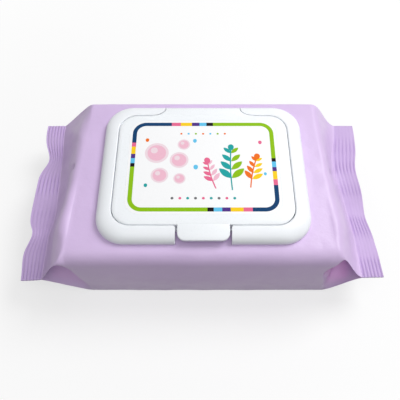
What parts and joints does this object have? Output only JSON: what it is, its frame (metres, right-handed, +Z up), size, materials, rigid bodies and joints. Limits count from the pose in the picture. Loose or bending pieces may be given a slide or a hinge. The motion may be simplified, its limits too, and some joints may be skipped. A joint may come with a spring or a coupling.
{
  "type": "wet wipes pack",
  "caption": "Soft film pouch of wet wipes with tucked gussets, crimped end seals and a hinged flip-top cap over its dispensing opening.",
  "frame": {"origin": "middle of the pack's footprint on the surface that it lies on", "axes": "+X along the pack's length, +Y towards the lid's hinge, +Z up out of the cap"},
  "size_m": [0.1932, 0.1006, 0.0503],
  "materials": {
    "film": "satin",
    "cap_plastic": "satin",
    "label": "satin",
    "adhesive": "matte",
    "wipes": "matte"
  },
  "bodies": {
    "pack": {"film_pouch": "film", "wipes_stack": "wipes", "wipe_tuft": "wipes", "cap_adhesive": "adhesive", "cap_base": "cap_plastic"},
    "lid": {"cap_lid": "cap_plastic", "lid_label": "label"}
  },
  "joints": [
    {"name": "lid_hinge", "type": "hinge", "parent": "pack", "child": "lid", "pos_m": [0.0016, 0.04398, 0.04736], "axis": [-1, 0, 0], "range_deg": [0, 125]}
  ]
}
